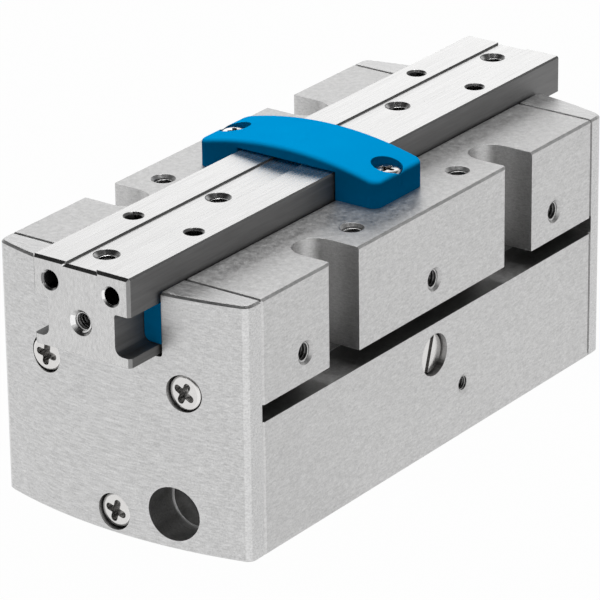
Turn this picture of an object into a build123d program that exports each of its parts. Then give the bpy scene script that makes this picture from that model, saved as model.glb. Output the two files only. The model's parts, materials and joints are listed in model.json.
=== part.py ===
from build123d import *
import math
import os

# Pneumatic parallel gripper with two long-stroke jaws.
# X runs along the jaw travel, the front end is at -X, and +Y is the left side seen from the front end.
# Z is up, the body stands on Z = 0 and is centred on X = Y = 0. All sizes are in millimetres.
# The part is drawn closed: both jaws meet under the bridge.

# Housing
body_length = 100.0
body_width = 52.0
body_height = 46.0
body_end_chamfer = 0.7
body_long_chamfer = 0.4
channel_half_width = 10.6
channel_depth = 11.4
sensor_slot_bottom_z = 24.25
sensor_slot_top_z = 27.35
sensor_slot_inner_y = 18.0

# Mounting holes with the notches that reach them from above
mount_x = 26.35
mount_y = 19.9
mount_hole_radius = 2.25
notch_radius = 4.0
notch_corner_radius = 1.0
dowel_seat_x = 31.0
dowel_seat_radius = 2.0
dowel_seat_depth = 6.0

# Threaded holes, drawn at their core size
m4_core_radius = 1.65
m4_mouth_radius = 2.2
m5_core_radius = 2.1
m5_mouth_radius = 2.6
top_thread_x = 15.9
top_thread_y = 19.9
top_thread_depth = 9.0
side_thread_x = 37.7
side_thread_z = 32.5
side_thread_depth = 6.5
small_thread_x = 9.25
small_thread_z = 9.6
small_thread_radius = 1.25
small_thread_mouth_radius = 1.95
small_thread_mouth_angle = 120.0
small_thread_depth = 5.0

# Jaws and the rails that guide them
jaw_outer_x = 64.0
jaw_inner_gap = 0.1
jaw_half_width = 10.0
jaw_web_half_width = 6.87
jaw_height = 15.7
jaw_floor_clearance = 0.45
jaw_foot_thickness = 1.67
jaw_groove_height = 7.24
jaw_groove_top_radius = 0.5
jaw_groove_bottom_radius = 1.5
jaw_end_chamfer = 0.5
jaw_top_chamfer = 0.3
jaw_recess_half_width = 3.13
jaw_recess_depth = 0.3
jaw_thread_outer_x = 56.9
jaw_thread_inner_x = 26.5
jaw_thread_depth = 7.5
jaw_thread_mouth_radius = 2.3
jaw_dowel_x = 41.6
jaw_dowel_y = 6.3
jaw_dowel_radius = 1.5
jaw_dowel_chamfer = 0.35
jaw_dowel_depth = 5.0
jaw_end_hole_shift = 0.05
jaw_end_dowel_drop = 3.85
jaw_left_end_dowel_depth = 5.4
jaw_right_end_dowel_depth = 5.0
jaw_end_thread_rise = 5.75
jaw_end_thread_depth = 6.0
rail_outer_y = 13.0
rail_clearance = 0.06
rail_corner_share = 0.92
jaw_stroke = 20.0

# End covers
cover_thickness = 7.0
cover_face_radius = 92.0
cover_corner_radius = 2.0
cover_edge_chamfer = 0.4
cutout_half_width = 10.55
cutout_corner_radius = 0.5
cover_screw_y = 14.4
cover_screw_upper_z = 28.8
cover_screw_lower_z = 4.0
cover_upper_seat_thickness = 2.6
cover_lower_seat_thickness = 3.3
cover_counterbore_radius = 3.3
cover_screw_clearance_radius = 1.6
access_hole_radius = 4.85
access_hole_y = 12.0
access_hole_z = 6.5

# Wipers in the end covers
wiper_length = 6.3
wiper_tab_length = 2.4
wiper_clearance = 0.1
wiper_tab_outer_y = 12.9
wiper_wall_clearance = 0.05

# Screws: thread radius, head radius and head height
cover_screw_radius = 1.5
cover_screw_reach = 9.5
cover_screw_hole_depth = 8.0
pan_head_radius = 3.0
pan_head_height = 2.9
pan_head_chamfer = 0.6
bridge_screw_radius = 1.25
bridge_screw_reach = 8.0
bridge_head_radius = 2.4
bridge_head_height = 2.1
bridge_head_chamfer = 0.5

# Bridge over the middle of the jaws
bridge_half_length = 7.25
bridge_half_width = 18.9
bridge_inner_half_width = 10.4
bridge_jaw_clearance = 0.35
bridge_crown_thickness = 2.2
bridge_crown_radius = 70.0
bridge_corner_radius = 1.8
bridge_edge_radius = 0.8
bridge_screw_y = 16.1
bridge_pocket_radius = 2.75
bridge_foot_thickness = 2.2
bridge_hole_clearance = 0.1

# Plug of the vent port on the right side
vent_z = 18.4
vent_recess_radius = 3.85
vent_recess_depth = 2.2
vent_plug_head_radius = 3.7
vent_plug_head_thickness = 1.1
vent_plug_reach = 4.5
vent_port_end_y = 13.0

# Pistons in their bores
bore_y = 9.0
bore_z = 17.5
bore_radius = 6.0
piston_clearance = 0.05
piston_end_room = 2.0
piston_end_chamfer = 0.5
piston_rack_length = 34.0
piston_seal_inset = 4.5
piston_seal_width = 2.6
piston_seal_inner_radius = 4.4
piston_seal_clearance = 0.02
seal_groove_gap = 0.1
magnet_radius = 2.0
magnet_thickness = 2.0
magnet_inset = 0.45

# Plugs that close the bores
bore_plug_length = 8.0
bore_plug_clearance = 0.03
bore_plug_chamfer = 0.4
bore_plug_seal_width = 1.8
bore_plug_seal_inner_radius = 4.6

# Pinion and its bearings
gear_module = 1.0
pinion_tooth_count = 12
pressure_angle = math.radians(25.0)
tooth_addendum = 0.8
tooth_dedendum = 1.05
flank_clearance = 0.03
flank_points = 5
pinion_bottom_z = 12.6
journal_radius = 2.5
journal_bottom_z = 6.0
journal_end_play = 0.4
journal_clearance = 0.05
pinion_pocket_radius = 7.4
pinion_pocket_roof = 3.0
bush_radius = 4.0
bush_flange_radius = 5.0
bush_play = 0.1
upper_bush_drop = 0.2
upper_bush_flange_thickness = 1.0
base_plug_radius = 9.0
base_plug_thickness = 3.0
base_plug_boss_radius = 7.35
base_plug_boss_top_z = 11.3
lower_bush_bottom_z = 5.5

# Racks bolted under the jaws
rack_back_y = 10.0
rack_bore_wall = 2.5
rack_end_wall = 2.0
rack_foot_start_x = 10.0
rack_foot_inner_y = 0.6
rack_foot_depth = 5.05
rack_tip_end_x = 27.5
rack_first_gap = -1
rack_gap_count = 10
rack_groove_clearance = 0.4
rack_screw_inset = 3.5
rack_screw_inner_x = 13.5
rack_screw_y = 3.7
rack_screw_radius = 1.5
rack_screw_head_radius = 2.75
rack_screw_head_height = 3.0
rack_screw_reach = 6.95
rack_counterbore_radius = 2.85
rack_pin_x = 19.0
rack_pin_radius = 1.5
rack_pin_reach = 4.95
rack_pin_drop = 4.05

# Air passages drilled in the housing
port_recess_radius = 4.6
port_recess_depth = 4.0
port_thread_depth = 4.5
gallery_radius = 1.5
riser_radius = 1.0
riser_plug_gap = 0.2
transfer_end_y = 4.0
transfer_plug_radius = 1.5
transfer_plug_length = 3.0
transfer_plug_inset = 0.3

# Sizes that follow from the ones above
half_length = body_length / 2
half_width = body_width / 2
channel_floor_z = body_height - channel_depth
jaw_bottom_z = channel_floor_z + jaw_floor_clearance
jaw_top_z = jaw_bottom_z + jaw_height
jaw_groove_bottom_z = jaw_bottom_z + jaw_foot_thickness
jaw_groove_top_z = jaw_groove_bottom_z + jaw_groove_height
jaw_end_dowel_z = jaw_top_z - jaw_end_dowel_drop
jaw_end_thread_z = jaw_bottom_z + jaw_end_thread_rise
bridge_underside_z = jaw_top_z + bridge_jaw_clearance
bridge_crown_z = bridge_underside_z + bridge_crown_thickness
bridge_pocket_floor_z = body_height + bridge_foot_thickness
pitch_radius = gear_module * pinion_tooth_count / 2
tooth_pitch = math.pi * gear_module
tooth_tip_y = pitch_radius - tooth_addendum
tooth_root_y = pitch_radius + tooth_dedendum
rail_bottom_z = jaw_groove_bottom_z + rail_clearance
rail_top_z = jaw_groove_top_z - rail_clearance
rail_inner_y = jaw_web_half_width + rail_clearance
piston_rest_x = jaw_stroke / 2
piston_length = body_length - 2 * bore_plug_length - jaw_stroke - 2 * piston_end_room
piston_seal_x = piston_length / 2 - piston_seal_inset
bore_plug_seal_x = half_length - bore_plug_length / 2
pinion_pocket_top_z = channel_floor_z - pinion_pocket_roof
pinion_top_z = pinion_pocket_top_z - upper_bush_flange_thickness - bush_play
upper_bush_top_z = channel_floor_z - upper_bush_drop
journal_top_z = upper_bush_top_z - journal_end_play
rack_bottom_z = bore_z + bore_radius + rack_bore_wall
rack_foot_bottom_z = jaw_bottom_z - rack_foot_depth
rack_foot_end_x = half_length - jaw_stroke - rack_end_wall
rack_screw_outer_x = rack_foot_end_x - rack_screw_inset
rack_screw_tip_z = jaw_bottom_z + rack_screw_reach
rack_pin_bottom_z = jaw_bottom_z - rack_pin_drop
rack_pin_top_z = jaw_bottom_z + rack_pin_reach
chamber_x = half_length - bore_plug_length - riser_plug_gap - riser_radius
cover_screw_places = [
    (cover_screw_y, cover_screw_upper_z, cover_upper_seat_thickness),
    (-cover_screw_y, cover_screw_upper_z, cover_upper_seat_thickness),
    (0, cover_screw_lower_z, cover_lower_seat_thickness),
]


def turned(shape):
    """The same piece at the other end and side of the gripper."""
    return shape.mirror(Plane.YZ).mirror(Plane.XZ)


def mirrored(shape):
    """The same piece on the other side of the middle plane Y = 0."""
    return shape.mirror(Plane.XZ)


def along_x(x, y, z):
    """A plane that faces +X, with its own X along Y and its own Y along Z."""
    return Plane(origin=(x, y, z), x_dir=(0, 1, 0), z_dir=(1, 0, 0))


def facing_front(x, y, z):
    """A plane that faces -X, with its own X along -Y and its own Y along Z."""
    return Plane(origin=(x, y, z), x_dir=(0, -1, 0), z_dir=(-1, 0, 0))


def facing_left(x, y, z):
    """A plane that faces +Y, for what is drilled or set in from the left side."""
    return Plane(origin=(x, y, z), x_dir=(-1, 0, 0), z_dir=(0, 1, 0))


def facing_right(x, y, z):
    """A plane that faces -Y, for what is drilled or set in from the right side."""
    return Plane(origin=(x, y, z), x_dir=(1, 0, 0), z_dir=(0, -1, 0))


def thread_hole(core_radius, mouth_radius, depth, mouth_angle=90.0):
    """Cut a threaded hole's core with its countersunk mouth, down from the current location."""
    CounterSinkHole(core_radius, mouth_radius, depth=depth, counter_sink_angle=mouth_angle)


# Housing
with BuildPart() as housing:
    Box(body_length, body_width, body_height, align=(Align.CENTER, Align.CENTER, Align.MIN))
    end_edges = housing.faces().filter_by(Axis.X).edges()
    chamfer(end_edges.filter_by(Axis.X, reverse=True), length=body_end_chamfer)
    chamfer(housing.edges().filter_by(Axis.X).sort_by(SortBy.LENGTH)[-4:], length=body_long_chamfer)
    # Channel for the jaws, with a groove for the rail in each wall
    with BuildSketch(Plane.XY.offset(channel_floor_z)):
        Rectangle(body_length, 2 * channel_half_width)
    extrude(amount=body_height - channel_floor_z, mode=Mode.SUBTRACT)
    with BuildSketch(Plane.XY.offset(rail_bottom_z)):
        Rectangle(body_length, 2 * rail_outer_y)
    extrude(amount=rail_top_z - rail_bottom_z, mode=Mode.SUBTRACT)
    # Sensor slot along each side
    slot_depth = half_width - sensor_slot_inner_y
    slot_height = sensor_slot_top_z - sensor_slot_bottom_z
    with Locations(
        (0, half_width - slot_depth / 2, sensor_slot_bottom_z + slot_height / 2),
        (0, -half_width + slot_depth / 2, sensor_slot_bottom_z + slot_height / 2),
    ):
        Box(body_length, slot_depth, slot_height, mode=Mode.SUBTRACT)
    # Notches in the upper flange, open to the side, over the four mounting holes
    with BuildSketch(Plane.XY.offset(sensor_slot_bottom_z)):
        with GridLocations(2 * mount_x, 2 * mount_y, 2, 2):
            Circle(notch_radius)
        for end, side in ((1, 1), (1, -1), (-1, 1), (-1, -1)):
            with Locations((end * mount_x, side * (mount_y + half_width) / 2)):
                Rectangle(2 * notch_radius, half_width - mount_y)
    extrude(amount=body_height - sensor_slot_bottom_z, mode=Mode.SUBTRACT)
    # Rounded corner of each notch: the front one on the right side, the rear one on the left side
    side_edges = housing.edges().filter_by(Axis.Z).filter_by(lambda e: abs(e.center().Y) > half_width - 0.01)
    right_edges = side_edges.filter_by(lambda e: e.center().Y < 0)
    left_edges = side_edges.filter_by(lambda e: e.center().Y > 0)
    front_corners = [-mount_x - notch_radius, mount_x - notch_radius]
    rear_corners = [-mount_x + notch_radius, mount_x + notch_radius]
    corners = right_edges.filter_by(lambda e: min(abs(e.center().X - x) for x in front_corners) < 0.01)
    corners += left_edges.filter_by(lambda e: min(abs(e.center().X - x) for x in rear_corners) < 0.01)
    fillet(corners, radius=notch_corner_radius)
    with BuildSketch(Plane.XY):
        with GridLocations(2 * mount_x, 2 * mount_y, 2, 2):
            Circle(mount_hole_radius)
    extrude(amount=sensor_slot_bottom_z, mode=Mode.SUBTRACT)
    # Dowel seats in the underside
    with BuildSketch(Plane.XY):
        with Locations((dowel_seat_x, 0), (-dowel_seat_x, 0)):
            Circle(dowel_seat_radius)
    extrude(amount=dowel_seat_depth, mode=Mode.SUBTRACT)
    # Threaded holes in the top and in both sides
    with Locations(Plane.XY.offset(body_height)):
        with GridLocations(2 * top_thread_x, 2 * top_thread_y, 2, 2):
            thread_hole(m4_core_radius, m4_mouth_radius, top_thread_depth)
    for plane in (facing_left(0, half_width, 0), facing_right(0, -half_width, 0)):
        with Locations(plane):
            with Locations((-side_thread_x, side_thread_z), (0, side_thread_z), (side_thread_x, side_thread_z)):
                thread_hole(m4_core_radius, m4_mouth_radius, side_thread_depth)
    with Locations(facing_right(small_thread_x, -half_width, small_thread_z)):
        thread_hole(small_thread_radius, small_thread_mouth_radius, small_thread_depth, small_thread_mouth_angle)
    # Holes for the bridge screws
    with BuildSketch(Plane.XY.offset(body_height)):
        with Locations((0, bridge_screw_y), (0, -bridge_screw_y)):
            Circle(bridge_screw_radius)
    extrude(amount=-bridge_screw_reach, mode=Mode.SUBTRACT)
    # Holes for the cover screws at both ends
    for end in (1, -1):
        with BuildSketch(along_x(end * half_length, 0, 0)):
            with Locations(*[(y, z) for y, z, seat in cover_screw_places]):
                Circle(cover_screw_radius)
        extrude(amount=-end * cover_screw_hole_depth, mode=Mode.SUBTRACT)
    # Two bores for the pistons
    with BuildSketch(along_x(-half_length, 0, bore_z)):
        with Locations((bore_y, 0), (-bore_y, 0)):
            Circle(bore_radius)
    extrude(amount=body_length, mode=Mode.SUBTRACT)
    # Stepped pocket for the base plug, the pinion and the upper bush
    with BuildSketch(Plane.XY):
        Circle(base_plug_radius)
    extrude(amount=base_plug_thickness, mode=Mode.SUBTRACT)
    with BuildSketch(Plane.XY):
        Circle(pinion_pocket_radius)
    extrude(amount=pinion_pocket_top_z, mode=Mode.SUBTRACT)
    with BuildSketch(Plane.XY):
        Circle(bush_radius)
    extrude(amount=channel_floor_z, mode=Mode.SUBTRACT)
    # Grooves in the channel floor for the racks and their feet, turned half round for the other jaw
    groove_low_z = rack_bottom_z - rack_groove_clearance
    foot_low_z = rack_foot_bottom_z - rack_groove_clearance
    groove_outer_y = rack_back_y + rack_groove_clearance
    groove_inner_y = tooth_tip_y - rack_groove_clearance
    foot_inner_y = rack_foot_inner_y - rack_groove_clearance
    groove_start_x = -(rack_foot_end_x + jaw_stroke + rack_groove_clearance)
    groove_end_x = rack_tip_end_x + rack_groove_clearance
    foot_end_x = -(rack_foot_start_x - rack_groove_clearance)
    for turn in (0, 180):
        with BuildSketch(Plane.XY.offset(groove_low_z).rotated((0, 0, turn))):
            with Locations(((groove_start_x + groove_end_x) / 2, -(groove_outer_y + groove_inner_y) / 2)):
                Rectangle(groove_end_x - groove_start_x, groove_outer_y - groove_inner_y)
        extrude(amount=channel_floor_z - groove_low_z, mode=Mode.SUBTRACT)
        with BuildSketch(Plane.XY.offset(foot_low_z).rotated((0, 0, turn))):
            with Locations(((groove_start_x + foot_end_x) / 2, -(groove_outer_y + foot_inner_y) / 2)):
                Rectangle(foot_end_x - groove_start_x, groove_outer_y - foot_inner_y)
        extrude(amount=channel_floor_z - foot_low_z, mode=Mode.SUBTRACT)
    # Vent port on the right side, open to the middle of the right bore
    with BuildSketch(facing_right(0, -half_width, vent_z)):
        Circle(vent_recess_radius)
    extrude(amount=-vent_recess_depth, mode=Mode.SUBTRACT)
    with BuildSketch(facing_right(0, -half_width, vent_z)):
        Circle(m5_core_radius)
    extrude(amount=-(half_width - vent_port_end_y), mode=Mode.SUBTRACT)
    # Air ports recessed in the end faces, each with a gallery along the housing
    port_floor_x = half_length - port_recess_depth
    with BuildSketch(facing_front(-port_floor_x, -access_hole_y, access_hole_z)):
        Circle(port_recess_radius)
    extrude(amount=port_recess_depth, mode=Mode.SUBTRACT)
    with BuildSketch(along_x(port_floor_x, access_hole_y, access_hole_z)):
        Circle(port_recess_radius)
    extrude(amount=port_recess_depth, mode=Mode.SUBTRACT)
    with Locations(facing_front(-port_floor_x, -access_hole_y, access_hole_z)):
        thread_hole(m5_core_radius, m5_mouth_radius, port_thread_depth)
    with Locations(along_x(port_floor_x, access_hole_y, access_hole_z)):
        thread_hole(m5_core_radius, m5_mouth_radius, port_thread_depth)
    with BuildSketch(along_x(-half_length, -access_hole_y, access_hole_z)):
        Circle(gallery_radius)
    extrude(amount=half_length + chamber_x + gallery_radius, mode=Mode.SUBTRACT)
    with BuildSketch(along_x(half_length, access_hole_y, access_hole_z)):
        Circle(gallery_radius)
    extrude(amount=-(half_length - chamber_x + gallery_radius), mode=Mode.SUBTRACT)
    # Risers from the galleries into the chambers behind the pistons
    with BuildSketch(Plane.XY.offset(access_hole_z)):
        with Locations((chamber_x, -access_hole_y), (chamber_x, access_hole_y)):
            Circle(riser_radius)
    extrude(amount=bore_z - access_hole_z, mode=Mode.SUBTRACT)
    # Transfer passage that joins the two front chambers, drilled from the left side and plugged
    with BuildSketch(facing_left(-chamber_x, half_width, bore_z)):
        Circle(riser_radius)
    extrude(amount=-(half_width + transfer_end_y), mode=Mode.SUBTRACT)
    with BuildSketch(facing_left(-chamber_x, half_width, bore_z)):
        Circle(transfer_plug_radius)
    extrude(amount=-(transfer_plug_length + transfer_plug_inset), mode=Mode.SUBTRACT)


# Plug of the transfer passage
with BuildPart() as transfer_plug:
    with BuildSketch(facing_left(-chamber_x, half_width - transfer_plug_inset, bore_z)):
        Circle(transfer_plug_radius)
    extrude(amount=-transfer_plug_length)

# Front cover, whose outer face bulges outward; the rear one is the same piece turned round
with BuildPart() as front_cover:
    edge_sag = cover_face_radius - math.sqrt(cover_face_radius**2 - half_width**2)
    face_x = -(half_length + cover_thickness)
    with BuildSketch(Plane.XY):
        with BuildLine():
            Polyline(
                (face_x + edge_sag, half_width),
                (-half_length, half_width),
                (-half_length, -half_width),
                (face_x + edge_sag, -half_width),
            )
            ThreePointArc((face_x + edge_sag, -half_width), (face_x, 0), (face_x + edge_sag, half_width))
        make_face()
    extrude(amount=body_height)
    fillet(front_cover.edges().filter_by(Axis.Z).group_by(Axis.X)[0], radius=cover_corner_radius)
    rim = front_cover.faces().filter_by(Axis.Z).edges()
    chamfer(rim.sort_by(Axis.X)[:-2], length=cover_edge_chamfer)
    # Cutout that the jaw passes through
    with BuildSketch(facing_front(-half_length, 0, channel_floor_z)):
        Rectangle(2 * cutout_half_width, body_height, align=(Align.CENTER, Align.MIN))
    extrude(amount=2 * cover_thickness, mode=Mode.SUBTRACT)
    cutout_corners = front_cover.edges().filter_by(Axis.X).filter_by_position(
        Axis.Z, channel_floor_z - 0.01, channel_floor_z + 0.01
    )
    fillet(cutout_corners, radius=cutout_corner_radius)
    # Counterbored screw holes
    for y, z, seat in cover_screw_places:
        with BuildSketch(facing_front(-half_length, y, z)):
            Circle(cover_screw_clearance_radius)
        extrude(amount=seat, mode=Mode.SUBTRACT)
        with BuildSketch(facing_front(-half_length - seat, y, z)):
            Circle(cover_counterbore_radius)
        extrude(amount=cover_thickness, mode=Mode.SUBTRACT)
    # Access hole to the air port in the housing's end face
    with BuildSketch(facing_front(-half_length, -access_hole_y, access_hole_z)):
        Circle(access_hole_radius)
    extrude(amount=2 * cover_thickness, mode=Mode.SUBTRACT)
    # Seats for the tabs of the two wipers
    with BuildSketch(facing_front(-half_length, 0, rail_bottom_z)):
        Rectangle(2 * rail_outer_y, rail_top_z - rail_bottom_z, align=(Align.CENTER, Align.MIN))
    extrude(amount=wiper_tab_length + wiper_wall_clearance, mode=Mode.SUBTRACT)

rear_cover = turned(front_cover.part)


# Pan head screw of the covers, with the underside of its head in the plane X = 0
with BuildPart() as cover_screw:
    with BuildSketch(facing_front(0, 0, 0)):
        Circle(pan_head_radius)
    extrude(amount=pan_head_height)
    chamfer(cover_screw.edges().group_by(Axis.X)[0], length=pan_head_chamfer)
    with BuildSketch(facing_front(0, 0, 0)):
        Circle(cover_screw_radius)
    extrude(amount=-cover_screw_reach)

# The front cover's screws, in their counterbores
with BuildPart() as front_cover_screws:
    with Locations(*[(-half_length - seat, y, z) for y, z, seat in cover_screw_places]):
        add(cover_screw.part)

rear_cover_screws = turned(front_cover_screws.part)


# Guide rail of the left side, held in the channel wall between the end covers
with BuildPart() as left_rail:
    rail_height = rail_top_z - rail_bottom_z
    with BuildSketch(along_x(-half_length, rail_inner_y, rail_bottom_z)):
        Rectangle(rail_outer_y - rail_inner_y, rail_height, align=(Align.MIN, Align.MIN))
    extrude(amount=body_length)
    inner_edges = left_rail.edges().filter_by(Axis.X).group_by(Axis.Y)[0].sort_by(Axis.Z)
    fillet(inner_edges[0], radius=rail_corner_share * jaw_groove_bottom_radius)
    fillet(inner_edges[1], radius=rail_corner_share * jaw_groove_top_radius)

right_rail = mirrored(left_rail.part)


# Wiper that fills the jaw's left groove where it leaves the front cover
with BuildPart() as front_left_wiper:
    wiper_bottom_z = jaw_groove_bottom_z + wiper_clearance
    wiper_height = jaw_groove_top_z - wiper_clearance - wiper_bottom_z
    with BuildSketch(facing_front(-half_length, jaw_web_half_width + wiper_clearance, wiper_bottom_z)):
        Rectangle(
            cutout_half_width - wiper_wall_clearance - jaw_web_half_width - wiper_clearance,
            wiper_height,
            align=(Align.MAX, Align.MIN),
        )
    extrude(amount=wiper_length)
    inner_edges = front_left_wiper.edges().filter_by(Axis.X).group_by(Axis.Y)[0].sort_by(Axis.Z)
    fillet(inner_edges[0], radius=rail_corner_share * jaw_groove_bottom_radius)
    fillet(inner_edges[1], radius=rail_corner_share * jaw_groove_top_radius)
    with BuildSketch(facing_front(-half_length, cutout_half_width - wiper_wall_clearance, wiper_bottom_z)):
        Rectangle(
            wiper_tab_outer_y - cutout_half_width + wiper_wall_clearance,
            wiper_height,
            align=(Align.MAX, Align.MIN),
        )
    extrude(amount=wiper_tab_length)

front_right_wiper = mirrored(front_left_wiper.part)
rear_right_wiper = turned(front_left_wiper.part)
rear_left_wiper = turned(front_right_wiper)


# Bridge over the middle of the channel, with an arched top and a pocket for each screw
with BuildPart() as bridge:
    with BuildSketch(Plane.XY.offset(body_height)):
        Rectangle(2 * bridge_half_length, 2 * bridge_half_width)
    extrude(amount=bridge_crown_z - body_height)
    fillet(bridge.edges().filter_by(Axis.Z), radius=bridge_corner_radius)
    with BuildSketch(along_x(-half_length, 0, bridge_crown_z - bridge_crown_radius)):
        Circle(bridge_crown_radius)
    extrude(amount=body_length, mode=Mode.INTERSECT)
    fillet(bridge.edges().group_by(Axis.Z)[-1] + bridge.faces().sort_by(Axis.Z)[-1].edges(), radius=bridge_edge_radius)
    with BuildSketch(Plane.XY.offset(body_height)):
        Rectangle(2 * bridge_half_length, 2 * bridge_inner_half_width)
    extrude(amount=bridge_underside_z - body_height, mode=Mode.SUBTRACT)
    with BuildSketch(Plane.XY.offset(bridge_pocket_floor_z)):
        with Locations((0, bridge_screw_y), (0, -bridge_screw_y)):
            Circle(bridge_pocket_radius)
    extrude(amount=bridge_crown_z - bridge_pocket_floor_z, mode=Mode.SUBTRACT)
    with BuildSketch(Plane.XY.offset(body_height)):
        with Locations((0, bridge_screw_y), (0, -bridge_screw_y)):
            Circle(bridge_screw_radius + bridge_hole_clearance)
    extrude(amount=bridge_pocket_floor_z - body_height, mode=Mode.SUBTRACT)


# Pan head screws of the bridge
with BuildPart() as bridge_screws:
    with BuildSketch(Plane.XY.offset(bridge_pocket_floor_z)):
        with Locations((0, bridge_screw_y), (0, -bridge_screw_y)):
            Circle(bridge_head_radius)
    extrude(amount=bridge_head_height)
    chamfer(bridge_screws.edges().group_by(Axis.Z)[-1], length=bridge_head_chamfer)
    with BuildSketch(Plane.XY.offset(bridge_pocket_floor_z)):
        with Locations((0, bridge_screw_y), (0, -bridge_screw_y)):
            Circle(bridge_screw_radius)
    extrude(amount=-bridge_screw_reach)


# Plug of the vent port
with BuildPart() as vent_plug:
    with BuildSketch(facing_right(0, -half_width + vent_recess_depth, vent_z)):
        Circle(vent_plug_head_radius)
    extrude(amount=vent_plug_head_thickness)
    with BuildSketch(facing_right(0, -half_width + vent_recess_depth, vent_z)):
        Circle(m5_core_radius)
    extrude(amount=-vent_plug_reach)


# Base plug under the pinion
with BuildPart() as base_plug:
    with BuildSketch(Plane.XY):
        Circle(base_plug_radius)
    extrude(amount=base_plug_thickness)
    with BuildSketch(Plane.XY.offset(base_plug_thickness)):
        Circle(base_plug_boss_radius)
    extrude(amount=base_plug_boss_top_z - base_plug_thickness)
    with BuildSketch(Plane.XY.offset(lower_bush_bottom_z)):
        Circle(bush_radius)
    extrude(amount=base_plug_boss_top_z - lower_bush_bottom_z, mode=Mode.SUBTRACT)


# Flanged bush in the base plug
with BuildPart() as lower_bush:
    with BuildSketch(Plane.XY.offset(lower_bush_bottom_z)):
        Circle(bush_radius)
    extrude(amount=base_plug_boss_top_z - lower_bush_bottom_z)
    with BuildSketch(Plane.XY.offset(base_plug_boss_top_z)):
        Circle(bush_flange_radius)
    extrude(amount=pinion_bottom_z - bush_play - base_plug_boss_top_z)
    with BuildSketch(Plane.XY.offset(lower_bush_bottom_z)):
        Circle(journal_radius + journal_clearance)
    extrude(amount=pinion_bottom_z, mode=Mode.SUBTRACT)


# Flanged bush above the pinion
with BuildPart() as upper_bush:
    with BuildSketch(Plane.XY.offset(pinion_pocket_top_z)):
        Circle(bush_radius)
    extrude(amount=upper_bush_top_z - pinion_pocket_top_z)
    with BuildSketch(Plane.XY.offset(pinion_top_z + bush_play)):
        Circle(bush_flange_radius)
    extrude(amount=pinion_pocket_top_z - pinion_top_z - bush_play)
    with BuildSketch(Plane.XY.offset(pinion_top_z)):
        Circle(journal_radius + journal_clearance)
    extrude(amount=upper_bush_top_z - pinion_top_z, mode=Mode.SUBTRACT)


def involute_angle(radius):
    """How far the flank has turned away from its start on the base circle, at a radius."""
    base_radius = pitch_radius * math.cos(pressure_angle)
    if radius <= base_radius:
        return 0.0
    swing = math.acos(base_radius / radius)
    return math.tan(swing) - swing


def tooth_half_angle(radius):
    """Half of the angle that one tooth of the pinion takes up at a radius."""
    at_pitch = math.pi / (2 * pinion_tooth_count) - flank_clearance / pitch_radius
    return at_pitch + involute_angle(pitch_radius) - involute_angle(radius)


def pinion_outline():
    """Corner points of the toothed outline, one tooth after the other; one tooth points to -Y."""
    root_radius = pitch_radius - tooth_dedendum
    tip_radius = pitch_radius + tooth_addendum
    base_radius = pitch_radius * math.cos(pressure_angle)
    flank_radii = [root_radius]
    for step in range(flank_points + 1):
        flank_radii.append(base_radius + (tip_radius - base_radius) * step / flank_points)
    points = []
    for tooth in range(pinion_tooth_count):
        middle = -math.pi / 2 + 2 * math.pi * tooth / pinion_tooth_count
        for radius in flank_radii:
            angle = middle - tooth_half_angle(radius)
            points.append((radius * math.cos(angle), radius * math.sin(angle)))
        for radius in reversed(flank_radii):
            angle = middle + tooth_half_angle(radius)
            points.append((radius * math.cos(angle), radius * math.sin(angle)))
    return points


# Pinion with involute teeth, in mesh with both pistons below and with both jaw racks above
with BuildPart() as pinion:
    with BuildSketch(Plane.XY.offset(pinion_bottom_z)):
        with BuildLine():
            Polyline(*pinion_outline(), close=True)
        make_face()
    extrude(amount=pinion_top_z - pinion_bottom_z)
    with BuildSketch(Plane.XY.offset(journal_bottom_z)):
        Circle(journal_radius)
    extrude(amount=journal_top_z - journal_bottom_z)


def rack_gap_outline(middle_x):
    """Corners of the gap between two rack teeth on the right side, wider towards the pinion."""
    def half_gap(y):
        return tooth_pitch / 4 + flank_clearance + (y + pitch_radius) * math.tan(pressure_angle)
    mouth_y = -tooth_tip_y + 2 * tooth_addendum
    return [
        (middle_x - half_gap(-tooth_root_y), -tooth_root_y),
        (middle_x + half_gap(-tooth_root_y), -tooth_root_y),
        (middle_x + half_gap(mouth_y), mouth_y),
        (middle_x - half_gap(mouth_y), mouth_y),
    ]


# Right piston: it moves with the front jaw, its rack faces the pinion
with BuildPart() as right_piston:
    piston_radius = bore_radius - piston_clearance
    with BuildSketch(along_x(piston_rest_x - piston_length / 2, -bore_y, bore_z)):
        Circle(piston_radius)
    extrude(amount=piston_length)
    chamfer(right_piston.edges().group_by(Axis.X)[0], length=piston_end_chamfer)
    chamfer(right_piston.edges().group_by(Axis.X)[-1], length=piston_end_chamfer)
    # Flat with the rack teeth
    with BuildSketch(Plane.XY):
        with Locations((piston_rest_x, -tooth_tip_y)):
            Rectangle(piston_rack_length, bore_radius, align=(Align.CENTER, Align.MIN))
    extrude(amount=body_height, mode=Mode.SUBTRACT)
    with BuildSketch(Plane.XY):
        for gap in range(rack_first_gap, rack_first_gap + rack_gap_count):
            with BuildLine():
                Polyline(*rack_gap_outline(gap * tooth_pitch), close=True)
            make_face()
    extrude(amount=body_height, mode=Mode.SUBTRACT)
    # Groove for each seal
    for side in (1, -1):
        groove_width = piston_seal_width + 2 * seal_groove_gap
        with BuildSketch(along_x(piston_rest_x + side * piston_seal_x - groove_width / 2, -bore_y, bore_z)):
            Circle(bore_radius)
            Circle(piston_seal_inner_radius, mode=Mode.SUBTRACT)
        extrude(amount=groove_width, mode=Mode.SUBTRACT)
    # Seat for the magnet that the sensor in the side slot reads
    with BuildSketch(facing_right(piston_rest_x, -bore_y - piston_radius, bore_z)):
        Circle(magnet_radius)
    extrude(amount=-magnet_thickness - magnet_inset, mode=Mode.SUBTRACT)

left_piston = turned(right_piston.part)


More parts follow.
